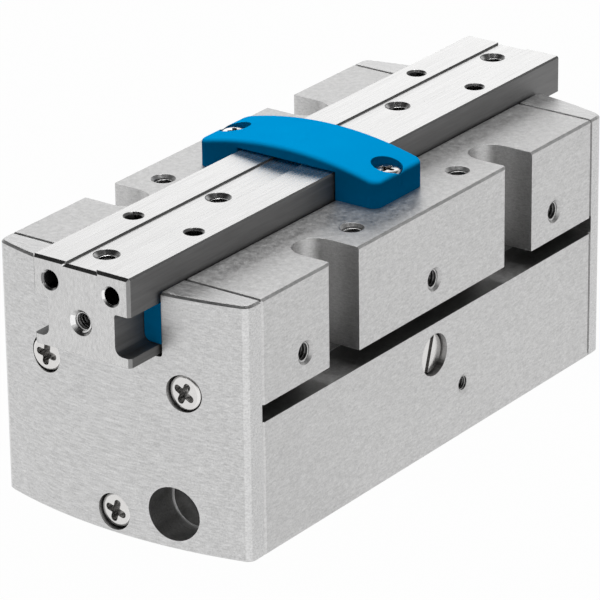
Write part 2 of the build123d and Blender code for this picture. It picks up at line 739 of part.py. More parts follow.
# Seal at the front end of the right piston
with BuildPart() as right_piston_front_seal:
    with BuildSketch(along_x(piston_rest_x - piston_seal_x - piston_seal_width / 2, -bore_y, bore_z)):
        Circle(bore_radius - piston_seal_clearance)
        Circle(piston_seal_inner_radius, mode=Mode.SUBTRACT)
    extrude(amount=piston_seal_width)

right_piston_rear_seal = right_piston_front_seal.part.moved(Location((2 * piston_seal_x, 0, 0)))
left_piston_rear_seal = turned(right_piston_front_seal.part)
left_piston_front_seal = turned(right_piston_rear_seal)


# Magnet in the right piston
with BuildPart() as right_magnet:
    magnet_face_y = -bore_y - piston_radius + magnet_inset
    with BuildSketch(facing_right(piston_rest_x, magnet_face_y, bore_z)):
        Circle(magnet_radius)
    extrude(amount=-magnet_thickness)

left_magnet = turned(right_magnet.part)


# Plug that closes the front end of the right bore
with BuildPart() as right_bore_front_plug:
    plug_radius = bore_radius - bore_plug_clearance
    with BuildSketch(along_x(-half_length, -bore_y, bore_z)):
        Circle(plug_radius)
    extrude(amount=bore_plug_length)
    chamfer(right_bore_front_plug.edges().group_by(Axis.X)[-1], length=bore_plug_chamfer)
    groove_width = bore_plug_seal_width + 2 * seal_groove_gap
    with BuildSketch(along_x(-bore_plug_seal_x - groove_width / 2, -bore_y, bore_z)):
        Circle(bore_radius)
        Circle(bore_plug_seal_inner_radius, mode=Mode.SUBTRACT)
    extrude(amount=groove_width, mode=Mode.SUBTRACT)

left_bore_front_plug = mirrored(right_bore_front_plug.part)
left_bore_rear_plug = turned(right_bore_front_plug.part)
right_bore_rear_plug = turned(left_bore_front_plug)


# Seal ring in the groove of that plug
with BuildPart() as right_bore_front_seal:
    with BuildSketch(along_x(-bore_plug_seal_x - bore_plug_seal_width / 2, -bore_y, bore_z)):
        Circle(bore_radius)
        Circle(bore_plug_seal_inner_radius, mode=Mode.SUBTRACT)
    extrude(amount=bore_plug_seal_width)

left_bore_front_seal = mirrored(right_bore_front_seal.part)
left_bore_rear_seal = turned(right_bore_front_seal.part)
right_bore_rear_seal = turned(left_bore_front_seal)


# Front jaw: a steel block whose side grooves run on the rails
with BuildPart() as front_jaw:
    with BuildSketch(along_x(-jaw_outer_x, 0, 0)):
        with BuildLine():
            outline = [
                (0, jaw_bottom_z),
                (jaw_half_width, jaw_bottom_z),
                (jaw_half_width, jaw_groove_bottom_z),
                (jaw_web_half_width, jaw_groove_bottom_z),
                (jaw_web_half_width, jaw_groove_top_z),
                (jaw_half_width, jaw_groove_top_z),
                (jaw_half_width, jaw_top_z),
                (jaw_recess_half_width, jaw_top_z),
                (jaw_recess_half_width, jaw_top_z - jaw_recess_depth),
                (0, jaw_top_z - jaw_recess_depth),
            ]
            Polyline(*outline)
            mirror(about=Plane.YZ)
        make_face()
        web_corners = vertices().filter_by(lambda v: abs(abs(v.X) - jaw_web_half_width) < 0.01)
        fillet(web_corners.group_by(Axis.Y)[0], radius=jaw_groove_bottom_radius)
        fillet(
            vertices().filter_by(
                lambda v: abs(abs(v.X) - jaw_web_half_width) < 0.01 and abs(v.Y - jaw_groove_top_z) < 0.01
            ),
            radius=jaw_groove_top_radius,
        )
    extrude(amount=jaw_outer_x - jaw_inner_gap)
    # Fine chamfers along the top and around the outer end
    top_edges = front_jaw.edges().filter_by(Axis.X).group_by(Axis.Z)[-1]
    chamfer(top_edges.sort_by(Axis.Y)[0], length=jaw_top_chamfer)
    chamfer(front_jaw.edges().filter_by(Axis.X).group_by(Axis.Z)[-1].sort_by(Axis.Y)[-1], length=jaw_top_chamfer)
    end_edges = front_jaw.faces().sort_by(Axis.X)[0].edges()
    chamfer(
        end_edges.filter_by(
            lambda e: abs(e.center().Y) > jaw_half_width - 0.01 or e.center().Z > jaw_top_z - jaw_recess_depth - 0.01
        ),
        length=jaw_end_chamfer,
    )
    # Threads and dowel holes in the top
    with Locations(
        (-jaw_thread_outer_x, 0, jaw_top_z - jaw_recess_depth),
        (-jaw_thread_inner_x, 0, jaw_top_z - jaw_recess_depth),
    ):
        thread_hole(m4_core_radius, jaw_thread_mouth_radius, jaw_thread_depth)
    with Locations((-jaw_dowel_x, jaw_dowel_y, jaw_top_z), (-jaw_dowel_x, -jaw_dowel_y, jaw_top_z)):
        thread_hole(jaw_dowel_radius, jaw_dowel_radius + jaw_dowel_chamfer, jaw_dowel_depth)
    # Thread and dowel holes in the outer end, set a hair to the left so that the two jaws' holes aren't in line
    with Locations(facing_front(-jaw_outer_x, jaw_end_hole_shift, jaw_end_thread_z)):
        thread_hole(m4_core_radius, jaw_thread_mouth_radius, jaw_end_thread_depth)
    for side, depth in ((1, jaw_left_end_dowel_depth), (-1, jaw_right_end_dowel_depth)):
        with Locations(facing_front(-jaw_outer_x, side * jaw_dowel_y + jaw_end_hole_shift, jaw_end_dowel_z)):
            thread_hole(jaw_dowel_radius, jaw_dowel_radius + jaw_dowel_chamfer, depth)
    # Holes for the screws and the pin of the rack underneath
    with BuildSketch(Plane.XY.offset(jaw_bottom_z)):
        with Locations((-rack_screw_outer_x, -rack_screw_y), (-rack_screw_inner_x, -rack_screw_y)):
            Circle(rack_screw_radius)
    extrude(amount=rack_screw_tip_z - jaw_bottom_z, mode=Mode.SUBTRACT)
    with BuildSketch(Plane.XY.offset(jaw_bottom_z)):
        with Locations((-rack_pin_x, -rack_screw_y)):
            Circle(rack_pin_radius)
    extrude(amount=rack_pin_top_z - jaw_bottom_z, mode=Mode.SUBTRACT)

rear_jaw = turned(front_jaw.part)


# Rack under the front jaw, with a foot for its screws
with BuildPart() as front_jaw_rack:
    with BuildSketch(Plane.XY.offset(rack_bottom_z)):
        with Locations((-rack_foot_end_x, -rack_back_y)):
            Rectangle(rack_foot_end_x + rack_tip_end_x, rack_back_y - tooth_tip_y, align=(Align.MIN, Align.MIN))
    extrude(amount=jaw_bottom_z - rack_bottom_z)
    with BuildSketch(Plane.XY.offset(rack_foot_bottom_z)):
        with Locations((-rack_foot_end_x, -rack_back_y)):
            Rectangle(
                rack_foot_end_x - rack_foot_start_x,
                rack_back_y - rack_foot_inner_y,
                align=(Align.MIN, Align.MIN),
            )
    extrude(amount=jaw_bottom_z - rack_foot_bottom_z)
    with BuildSketch(Plane.XY.offset(rack_bottom_z)):
        for gap in range(rack_first_gap, rack_first_gap + rack_gap_count - 1):
            with BuildLine():
                Polyline(*rack_gap_outline(gap * tooth_pitch), close=True)
            make_face()
    extrude(amount=jaw_bottom_z - rack_bottom_z, mode=Mode.SUBTRACT)
    # Counterbored screw holes from below, and the pin hole between them
    with BuildSketch(Plane.XY.offset(rack_foot_bottom_z)):
        with Locations((-rack_screw_outer_x, -rack_screw_y), (-rack_screw_inner_x, -rack_screw_y)):
            Circle(rack_counterbore_radius)
    extrude(amount=rack_screw_head_height, both=True, mode=Mode.SUBTRACT)
    with BuildSketch(Plane.XY.offset(rack_foot_bottom_z)):
        with Locations((-rack_screw_outer_x, -rack_screw_y), (-rack_screw_inner_x, -rack_screw_y)):
            Circle(rack_screw_radius)
        with Locations((-rack_pin_x, -rack_screw_y)):
            Circle(rack_pin_radius)
    extrude(amount=jaw_bottom_z - rack_foot_bottom_z, mode=Mode.SUBTRACT)

rear_jaw_rack = turned(front_jaw_rack.part)


# Screws that hold the front rack
with BuildPart() as front_rack_screws:
    with BuildSketch(Plane.XY.offset(rack_foot_bottom_z)):
        with Locations((-rack_screw_outer_x, -rack_screw_y), (-rack_screw_inner_x, -rack_screw_y)):
            Circle(rack_screw_head_radius)
    extrude(amount=rack_screw_head_height)
    with BuildSketch(Plane.XY.offset(rack_foot_bottom_z)):
        with Locations((-rack_screw_outer_x, -rack_screw_y), (-rack_screw_inner_x, -rack_screw_y)):
            Circle(rack_screw_radius)
    extrude(amount=rack_screw_tip_z - rack_foot_bottom_z)

rear_rack_screws = turned(front_rack_screws.part)


# Pin that locates the front rack
with BuildPart() as front_rack_pin:
    with BuildSketch(Plane.XY.offset(rack_pin_bottom_z)):
        with Locations((-rack_pin_x, -rack_screw_y)):
            Circle(rack_pin_radius)
    extrude(amount=rack_pin_top_z - rack_pin_bottom_z)

rear_rack_pin = turned(front_rack_pin.part)


# One STEP file for each piece
pieces = {
    "housing": housing.part,
    "transfer_plug": transfer_plug.part,
    "front_cover": front_cover.part,
    "rear_cover": rear_cover,
    "front_cover_screws": front_cover_screws.part,
    "rear_cover_screws": rear_cover_screws,
    "left_rail": left_rail.part,
    "right_rail": right_rail,
    "front_left_wiper": front_left_wiper.part,
    "front_right_wiper": front_right_wiper,
    "rear_left_wiper": rear_left_wiper,
    "rear_right_wiper": rear_right_wiper,
    "bridge": bridge.part,
    "bridge_screws": bridge_screws.part,
    "vent_plug": vent_plug.part,
    "base_plug": base_plug.part,
    "lower_bush": lower_bush.part,
    "upper_bush": upper_bush.part,
    "pinion": pinion.part,
    "right_piston": right_piston.part,
    "left_piston": left_piston,
    "right_piston_front_seal": right_piston_front_seal.part,
    "right_piston_rear_seal": right_piston_rear_seal,
    "left_piston_front_seal": left_piston_front_seal,
    "left_piston_rear_seal": left_piston_rear_seal,
    "right_magnet": right_magnet.part,
    "left_magnet": left_magnet,
    "right_bore_front_plug": right_bore_front_plug.part,
    "right_bore_rear_plug": right_bore_rear_plug,
    "left_bore_front_plug": left_bore_front_plug,
    "left_bore_rear_plug": left_bore_rear_plug,
    "right_bore_front_seal": right_bore_front_seal.part,
    "right_bore_rear_seal": right_bore_rear_seal,
    "left_bore_front_seal": left_bore_front_seal,
    "left_bore_rear_seal": left_bore_rear_seal,
    "front_jaw": front_jaw.part,
    "rear_jaw": rear_jaw,
    "front_jaw_rack": front_jaw_rack.part,
    "rear_jaw_rack": rear_jaw_rack,
    "front_rack_screws": front_rack_screws.part,
    "rear_rack_screws": rear_rack_screws,
    "front_rack_pin": front_rack_pin.part,
    "rear_rack_pin": rear_rack_pin,
}
os.makedirs("parts", exist_ok=True)
for label, piece in pieces.items():
    piece.label = label
    export_step(piece, f"parts/{label}.step")
    print(label, round(piece.volume, 1), "mm3")
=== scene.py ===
import json
import math

import bpy
from mathutils import Matrix, Vector


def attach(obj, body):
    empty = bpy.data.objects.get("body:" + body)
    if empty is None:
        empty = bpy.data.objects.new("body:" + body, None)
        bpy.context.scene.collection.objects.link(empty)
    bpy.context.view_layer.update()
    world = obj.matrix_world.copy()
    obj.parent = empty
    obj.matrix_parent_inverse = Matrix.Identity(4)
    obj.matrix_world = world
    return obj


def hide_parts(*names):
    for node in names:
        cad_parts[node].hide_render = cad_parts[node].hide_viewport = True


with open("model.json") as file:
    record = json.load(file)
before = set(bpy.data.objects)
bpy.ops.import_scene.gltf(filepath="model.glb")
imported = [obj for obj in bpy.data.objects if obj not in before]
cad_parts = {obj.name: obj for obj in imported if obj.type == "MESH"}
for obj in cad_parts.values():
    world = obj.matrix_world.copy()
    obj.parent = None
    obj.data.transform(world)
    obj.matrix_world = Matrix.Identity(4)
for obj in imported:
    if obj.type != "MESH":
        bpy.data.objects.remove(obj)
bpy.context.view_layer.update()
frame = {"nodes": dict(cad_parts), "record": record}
nodes = frame["nodes"]
mm = 0.001  # the pieces' lengths in the dictionaries below are in millimetres


class Wire:  # one value in a node tree; Python's operators on it add Math nodes
    def __init__(self, tree, socket):
        self.tree = tree
        self.socket = socket

    def math(self, operation, first, second=None):
        node = self.tree.nodes.new("ShaderNodeMath")
        node.operation = operation
        plugIn(self.tree, node.inputs[0], first)
        if second is not None:
            plugIn(self.tree, node.inputs[1], second)
        return Wire(self.tree, node.outputs[0])

    def __add__(self, other):
        return self.math("ADD", self, other)

    def __radd__(self, other):
        return self.math("ADD", other, self)

    def __sub__(self, other):
        return self.math("SUBTRACT", self, other)

    def __rsub__(self, other):
        return self.math("SUBTRACT", other, self)

    def __mul__(self, other):
        return self.math("MULTIPLY", self, other)

    def __rmul__(self, other):
        return self.math("MULTIPLY", other, self)

    def __truediv__(self, other):
        return self.math("DIVIDE", self, other)

    def __rtruediv__(self, other):
        return self.math("DIVIDE", other, self)

    def __pow__(self, other):
        return self.math("POWER", self, other)

    def __abs__(self):
        return self.math("ABSOLUTE", self)

    def __gt__(self, other):
        return self.math("GREATER_THAN", self, other)

    def __lt__(self, other):
        return self.math("LESS_THAN", self, other)

    def above(self, other):
        return self.math("MAXIMUM", self, other)

    def below(self, other):
        return self.math("MINIMUM", self, other)

    def sine(self):
        return self.math("SINE", self)

    def cosine(self):
        return self.math("COSINE", self)

    def clipped(self):
        return self.above(0.0).below(1.0)


def plugIn(tree, slot, value):
    if isinstance(value, Wire):
        value = value.socket
    if isinstance(value, bpy.types.NodeSocket):
        tree.links.new(value, slot)
    else:
        slot.default_value = value


class Graph:  # a node tree, with one method that adds any kind of node
    def __init__(self, tree):
        self.tree = tree
        tree.nodes.clear()

    def add(self, kind, settings=None, values=None):
        node = self.tree.nodes.new(kind)
        for name, value in (settings or {}).items():
            setattr(node, name, value)
        for name, value in (values or {}).items():
            plugIn(self.tree, node.inputs[name], value)
        return node

    def out(self, node, output=0):
        return Wire(self.tree, node.outputs[output])

    def mixColour(self, factor, first, second):
        node = self.add("ShaderNodeMix", {"data_type": "RGBA"}, {0: factor, 6: first, 7: second})
        return self.out(node, 2)

    def vector(self, x, y, z):
        return self.out(self.add("ShaderNodeCombineXYZ", None, {0: x, 1: y, 2: z}))

    def parts(self, vector):
        split = self.add("ShaderNodeSeparateXYZ", None, {0: vector})
        return [self.out(split, axis) for axis in "XYZ"]


def grey(value):
    return (value, value, value, 1.0)


def newFinish(name):
    material = bpy.data.materials.new(name)
    material.use_nodes = True
    graph = Graph(material.node_tree)
    place = graph.add("ShaderNodeTexCoord").outputs["Object"]
    return material, graph, place


def noise(graph, place, scale, detail=2.0, roughness=0.5, stretch=(1, 1, 1)):
    mapped = graph.add("ShaderNodeMapping", None, {"Vector": place, "Scale": stretch})
    made = graph.add("ShaderNodeTexNoise", None, {
        "Vector": mapped.outputs[0], "Scale": scale, "Detail": detail, "Roughness": roughness})
    return graph.out(made)


def facing(graph):  # the three parts of each face's direction
    return graph.parts(graph.add("ShaderNodeNewGeometry").outputs["True Normal"])


def edgeMask(graph, radius, strength):  # near 1 along the piece's sharp edges
    rounded = graph.add("ShaderNodeBevel", {"samples": 6}, {"Radius": radius * mm})
    flat = graph.add("ShaderNodeNewGeometry")
    dot = graph.add("ShaderNodeVectorMath", {"operation": "DOT_PRODUCT"}, {
        0: rounded.outputs[0], 1: flat.outputs["Normal"]})
    bend = 1.0 - graph.out(dot, "Value")
    return (bend * strength).clipped(), rounded.outputs[0]


def recessShade(graph, reach, strength):  # 1 in the open, lower deep in holes and slots of the same piece
    openness = graph.add("ShaderNodeAmbientOcclusion", {"samples": 8, "only_local": True}, {
        "Distance": reach * mm})
    hidden = (1.0 - graph.out(openness, "AO")).clipped()
    deepening = 1.8  # shallow corners stay light
    return 1.0 - (hidden ** deepening) * strength


def finishShader(graph, colour, roughness, metallic, height, relief, normal, **own):
    bump = graph.add("ShaderNodeBump", None, {
        "Strength": 1.0, "Distance": relief * mm, "Height": height, "Normal": normal})
    shader = graph.add("ShaderNodeBsdfPrincipled", None, {
        "Base Color": colour, "Roughness": roughness, "Metallic": metallic, "Normal": bump.outputs[0]})
    for socket, value in own.items():
        shader.inputs[socket.replace("_", " ")].default_value = value
    graph.add("ShaderNodeOutputMaterial", None, {"Surface": shader.outputs[0]})


# satin-ground aluminium: fine grain, hairlines along the jaw travel, smoother edges that carry a painted
# highlight
satin = {
    "colour": 0.57, "colourSpread": 0.42, "cloudSpread": 0.03, "warm": 0.004,
    "roughness": 0.42, "roughnessSpread": 0.22, "grainShare": 0.8,
    "grainScale": 3900.0, "hairScale": 3400.0, "hairStretch": (0.30, 0.30, 0.9), "cloudScale": 45.0,
    "edgeRadius": 0.14, "edgeStrength": 2.2, "edgeGain": 0.34, "edgePolish": 0.08,
    "chamferShade": 0.62, "cornerGain": 0.1, "cornerBeyond": 49.2,
    "sideShade": 0.0, "sideRoughness": 0.35, "sideBeyond": 100.0, "sideBelow": 0.0, "sideAbove": 50.35,
    "relief": 0.006, "shadeReach": 7.0, "shade": 0.95,
}

# faces are told apart by the parts of their direction: how far each kind looks to an end, a side or up
faceKinds = {
    "endMin": 0.5, "endSquare": 0.93, "sideMin": 0.6, "upright": 0.3,
    "chamferRise": 0.72, "chamferNarrow": 5.0, "chamferElsewhere": 0.3, "paintedHighlightFade": 4.0,
}


def metalLike(base, **changed):  # a finish that differs from another in a few values
    return {**base, **changed}


def makeMetal(name, look):
    material, graph, place = newFinish(name)
    grain = noise(graph, place, look["grainScale"], detail=3.0, roughness=0.6)
    hair = noise(graph, place, look["hairScale"], detail=3.0, roughness=0.65, stretch=look["hairStretch"])
    cloud = noise(graph, place, look["cloudScale"])
    edge, rounded = edgeMask(graph, look["edgeRadius"], look["edgeStrength"])
    x, y, z = graph.parts(place)
    endwards, sidewards, upwards = facing(graph)
    # chamfers that face up and to an end get painted shade, standing in for the dark ceiling they would
    # reflect; upright ones at the ends get a painted highlight, standing in for the bright floor
    toEnd = abs(endwards) > faceKinds["endMin"]
    sloped = (1.0 - abs(upwards - faceKinds["chamferRise"]) * faceKinds["chamferNarrow"]).clipped()
    elsewhere = faceKinds["chamferElsewhere"]
    chamfer = sloped * (toEnd * (1.0 - elsewhere) + elsewhere)
    corner = toEnd * (abs(endwards) < faceKinds["endSquare"]) * (abs(upwards) < faceKinds["upright"])
    corner = corner * (abs(x) > look["cornerBeyond"] * mm)
    # flanks, side grooves and recess steps of the jaws get painted shade, and are rough from milling
    inGroove = (z < look["sideBelow"] * mm) * (abs(endwards) < faceKinds["endMin"])
    outside = (abs(y) > look["sideBeyond"] * mm).above(z > look["sideAbove"] * mm)
    flank = outside * (abs(sidewards) > faceKinds["sideMin"]).above(inGroove)
    # painted highlight along the edges, fading out on faces that look up
    edgeHighlightMask = edge * (1.0 - upwards * faceKinds["paintedHighlightFade"]).clipped()
    tone = (grain - 0.5) * (look["colourSpread"] * look["grainShare"]) + (hair - 0.5) * look["colourSpread"]
    tone = tone + (cloud - 0.5) * look["cloudSpread"] + look["colour"]
    # painted highlights: along the edges and on the upright corners at the ends
    tone = tone + edgeHighlightMask * look["edgeGain"] + corner * look["cornerGain"]
    # painted shade: darker chamfers, and darker jaw flanks, grooves and steps
    tone = tone * (1.0 - chamfer * look["chamferShade"]) * (1.0 - flank * look["sideShade"])
    tone = tone * recessShade(graph, look["shadeReach"], look["shade"])
    colour = graph.vector(tone * (1 + look["warm"]), tone, tone * (1 - look["warm"]))
    rough = look["roughness"] + (grain - 0.5) * look["roughnessSpread"]
    rough = rough + (hair - 0.5) * look["roughnessSpread"] - edge * look["edgePolish"]
    rough = rough + flank * look["sideRoughness"]
    finishShader(graph, colour, rough, 1.0, grain * 0.5 + hair, look["relief"], rounded)
    return material


housingFinish = makeMetal("housing_finish", satin)

# end covers: brushed across, in long level lines
coverLook = metalLike(
    satin, colour=0.60, colourSpread=0.52, warm=0.002, roughness=0.38, roughnessSpread=0.26,
    grainScale=3600.0, hairScale=3200.0, hairStretch=(1.0, 0.12, 1.0), cloudScale=60.0,
    edgeGain=0.3, relief=0.007)
coverFinish = makeMetal("cover_finish", coverLook)

# ground jaws: bright, with fine lines along the travel; their flanks and grooves carry painted shade and are
# rougher
jawLook = metalLike(
    satin, colour=0.61, colourSpread=0.44, cloudSpread=0.05, roughness=0.26, roughnessSpread=0.14,
    grainShare=0.25, grainScale=4200.0, hairScale=3600.0, hairStretch=(0.02, 1.0, 0.35), cloudScale=40.0,
    edgeRadius=0.10, edgeGain=0.12, chamferShade=0.8, cornerGain=0.38, cornerBeyond=63.4,
    sideShade=0.66, sideBeyond=6.4, sideBelow=44.5, relief=0.004, shadeReach=6.0)
jawFinish = makeMetal("jaw_finish", jawLook)

# hardened rails, racks and pinion: darker and oiled
hardenedLook = metalLike(
    satin, colour=0.33, colourSpread=0.16, cloudSpread=0.05, warm=0.02, roughness=0.30, roughnessSpread=0.14,
    grainScale=2600.0, hairScale=2000.0, hairStretch=(0.03, 1.0, 1.0), cloudScale=70.0,
    edgeRadius=0.08, edgeGain=0.2, chamferShade=0.3, relief=0.004, shadeReach=3.0, shade=0.8)
hardenedFinish = makeMetal("hardened_finish", hardenedLook)

# nickel-plated screws and plug
nickelLook = metalLike(
    satin, colour=0.70, colourSpread=0.08, cloudSpread=0.04, warm=0.015, roughness=0.20, roughnessSpread=0.10,
    grainScale=2400.0, hairScale=1800.0, hairStretch=(1.0, 1.0, 1.0), cloudScale=300.0,
    edgeRadius=0.08, edgeGain=0.2, chamferShade=0.0, relief=0.003, shadeReach=1.6, shade=0.97)
nickelFinish = makeMetal("nickel_finish", nickelLook)

# sintered bronze bushes
bronzeLook = metalLike(
    satin, colour=0.36, colourSpread=0.16, cloudSpread=0.06, warm=0.35, roughness=0.42, roughnessSpread=0.2,
    grainScale=2200.0, hairScale=1600.0, hairStretch=(1.0, 1.0, 0.3), cloudScale=90.0,
    edgeRadius=0.08, edgeGain=0.12, chamferShade=0.0, relief=0.01, shadeReach=3.0, shade=0.7)
bronzeFinish = makeMetal("bronze_finish", bronzeLook)

# plated magnets
magnetLook = metalLike(
    satin, colour=0.42, colourSpread=0.08, cloudSpread=0.04, warm=0.01, roughness=0.33, roughnessSpread=0.12,
    grainScale=2400.0, hairScale=1400.0, hairStretch=(1.0, 1.0, 1.0), cloudScale=200.0,
    edgeRadius=0.06, edgeGain=0.15, chamferShade=0.0, relief=0.003, shadeReach=2.0, shade=0.5)
magnetFinish = makeMetal("magnet_finish", magnetLook)

# moulded plastic of the bridge; the low pieces, the wipers, are painted lighter, as painted light
bluePlastic = {
    "colour": (0.0, 0.40, 0.86, 1.0), "deep": (0.0, 0.35, 0.80, 1.0),
    "edgeHighlightColour": (0.02, 0.50, 0.95, 1.0), "edgeHighlightShare": 0.5, "edgeRadius": 0.3, "edgeStrength": 2.0,
    "shadow": (0.0, 0.06, 0.20, 1.0), "uprightShade": 0.55, "uprightNarrow": 1.6,
    "lowLitColour": (0.0, 0.44, 1.0, 1.0), "lowLitShare": 0.7, "lowBelow": 45.0,
    "roughness": 0.40, "roughnessSpread": 0.12, "grainScale": 1900.0, "flowScale": 120.0,
    "relief": 0.012, "sheen": 0.0,
}

# black rubber of the seal rings
sealRubber = {
    "colour": (0.022, 0.022, 0.024, 1.0), "deep": (0.015, 0.015, 0.016, 1.0),
    "edgeHighlightColour": (0.05, 0.05, 0.05, 1.0), "edgeHighlightShare": 0.5, "edgeRadius": 0.1, "edgeStrength": 2.0,
    "shadow": (0.01, 0.01, 0.01, 1.0), "uprightShade": 0.0, "uprightNarrow": 1.6,
    "lowLitColour": (0.05, 0.05, 0.05, 1.0), "lowLitShare": 0.7, "lowBelow": 0.0,
    "roughness": 0.55, "roughnessSpread": 0.2, "grainScale": 1500.0, "flowScale": 150.0,
    "relief": 0.01, "sheen": 0.4,
}


def makePlastic(name, look):
    material, graph, place = newFinish(name)
    grain = noise(graph, place, look["grainScale"])
    flow = noise(graph, place, look["flowScale"])
    edge, rounded = edgeMask(graph, look["edgeRadius"], look["edgeStrength"])
    upwards = facing(graph)[2]
    upright = (1.0 - abs(upwards) * look["uprightNarrow"]).clipped()
    low = graph.parts(place)[2] < look["lowBelow"] * mm
    colour = graph.mixColour(flow, look["deep"], look["colour"])
    # painted highlight along the edges
    colour = graph.mixColour(edge * look["edgeHighlightShare"], colour, look["edgeHighlightColour"])
    colour = graph.mixColour(upright * (1.0 - low) * look["uprightShade"], colour, look["shadow"])
    # painted light: the low pieces are mixed lighter and are spared the painted shade above
    colour = graph.mixColour(low * look["lowLitShare"], colour, look["lowLitColour"])
    rough = look["roughness"] + (grain - 0.5) * look["roughnessSpread"]
    finishShader(graph, colour, rough, 0.0, grain, look["relief"], rounded, Specular_IOR_Level=look["sheen"])
    return material


plasticFinish = makePlastic("blue_plastic_finish", bluePlastic)
rubberFinish = makePlastic("seal_finish", sealRubber)

finishOfSlot = {
    "housing_aluminium": housingFinish,
    "cover_aluminium": coverFinish,
    "ground_steel": jawFinish,
    "hardened_steel": hardenedFinish,
    "nickel_steel": nickelFinish,
    "blue_plastic": plasticFinish,
    "bush_bronze": bronzeFinish,
    "seal_rubber": rubberFinish,
    "magnet_metal": magnetFinish,
}
for part in frame["record"]["subparts"]:
    node = nodes[part["node"]]
    node.data.materials.clear()
    node.data.materials.append(finishOfSlot[part["material_slot"]])
print("finishes made:", len(finishOfSlot))


# the geometry node trees of the screws and the thread turns start and end alike
def newTree(name, inputs):
    tree = bpy.data.node_groups.new(name, "GeometryNodeTree")
    graph = Graph(tree)
    tree.interface.new_socket(name="Places", in_out="INPUT", socket_type="NodeSocketGeometry")
    for label, kind, start in inputs:
        socket = tree.interface.new_socket(name=label, in_out="INPUT", socket_type=kind)
        if start is not None:
            socket.default_value = start
    tree.interface.new_socket(name="Mesh", in_out="OUTPUT", socket_type="NodeSocketGeometry")
    given = graph.add("NodeGroupInput")
    return tree, graph, {s.name: Wire(tree, s) for s in given.outputs if s.name}


def endTree(graph, geometry, material):
    real = graph.add("GeometryNodeRealizeInstances", None, {"Geometry": geometry})
    painted = graph.add("GeometryNodeSetMaterial", None, {"Geometry": real.outputs[0], "Material": material})
    graph.add("NodeGroupOutput", None, {"Mesh": painted.outputs[0]})


def standOn(graph, given, shape, twist):  # the shape at each place, turned from +Z to the given direction
    turned = graph.add("FunctionNodeAlignRotationToVector", {"axis": "Z"}, {"Vector": given["Direction"]})
    spun = graph.add("FunctionNodeRotateRotation", {"rotation_space": "LOCAL"}, {
        "Rotation": turned.outputs[0], "Rotate By": graph.vector(0.0, 0.0, twist)})
    placed = graph.add("GeometryNodeInstanceOnPoints", None, {
        "Points": given["Places"], "Instance": shape, "Rotation": spun.outputs[0]})
    return placed.outputs[0]


def lifted(graph, geometry, height):
    moved = graph.add("GeometryNodeTransform", None, {
        "Geometry": geometry, "Translation": graph.vector(0.0, 0.0, height)})
    return moved.outputs[0]


# a head's outline: how full its side and how flat its crown is, and where the underside starts
headShape = {
    "rings": 22, "spokes": 64, "crownShare": 0.8, "sideFullness": 0.34, "crownFlatness": 0.2,
    "mergeWithin": 0.004, "cutAbove": 0.02, "mostTurn": 1.57,
}


def makeHead(graph, given):  # a round grid: its rows run from the crown over the rim to the underside
    sheet = graph.add("GeometryNodeMeshGrid", None, {
        "Size X": 1.0, "Size Y": 1.0,
        "Vertices X": headShape["rings"] + 1, "Vertices Y": headShape["spokes"] + 1})
    gridX, gridY = graph.parts(graph.add("GeometryNodeInputPosition").outputs[0])[:2]
    along = gridX + 0.5
    around = (gridY + 0.5) * (2 * math.pi)
    crown = headShape["crownShare"]
    lean = (along / crown).below(1.0) * (math.pi / 2)
    under = 1.0 - ((along - crown) / (1.0 - crown)).above(0.0)
    reach = (lean.sine() ** headShape["sideFullness"]) * given["Head Radius"] * under
    height = (lean.cosine().above(0.0) ** headShape["crownFlatness"]) * given["Head Height"]
    moved = graph.add("GeometryNodeSetPosition", None, {
        "Geometry": sheet.outputs["Mesh"],
        "Position": graph.vector(reach * around.cosine(), reach * around.sine(), height)})
    merged = graph.add("GeometryNodeMergeByDistance", None, {
        "Geometry": moved.outputs[0], "Distance": headShape["mergeWithin"] * mm})
    return merged.outputs[0]


# a cross recess's cones: radii as shares of its width, depths as shares of its depth
crossShape = {
    "tipLow": 0.36, "tipHigh": 0.64, "tipDepth": 2.0, "tipSink": -1.0,
    "coreLow": 0.3, "coreHigh": 1.15, "coreDepth": 2.4, "coreSink": -1.3,
}


def makeCross(graph, given):  # what cuts the recess: two bars, a cone at each tip and one in the middle
    span, width, depth = given["Cross Span"], given["Cross Width"], given["Cross Depth"]
    bar = graph.add("GeometryNodeMeshCube", None, {"Size": graph.vector(span - width, width, depth * 2)})
    crossBar = graph.add("GeometryNodeMeshCube", None, {"Size": graph.vector(width, span - width, depth * 2)})
    tip = graph.add("GeometryNodeMeshCone", None, {
        "Vertices": 24, "Radius Bottom": width * crossShape["tipLow"],
        "Radius Top": width * crossShape["tipHigh"], "Depth": depth * crossShape["tipDepth"]})
    ring = graph.add("GeometryNodeMeshCircle", None, {"Vertices": 4, "Radius": (span - width) / 2})
    tips = graph.add("GeometryNodeInstanceOnPoints", None, {
        "Points": ring.outputs[0], "Instance": tip.outputs["Mesh"]})
    core = graph.add("GeometryNodeMeshCone", None, {
        "Vertices": 32, "Radius Bottom": width * crossShape["coreLow"],
        "Radius Top": width * crossShape["coreHigh"], "Depth": depth * crossShape["coreDepth"]})
    return [
        bar.outputs["Mesh"], crossBar.outputs["Mesh"],
        lifted(graph, tips.outputs[0], depth * crossShape["tipSink"]),
        lifted(graph, core.outputs["Mesh"], depth * crossShape["coreSink"])]


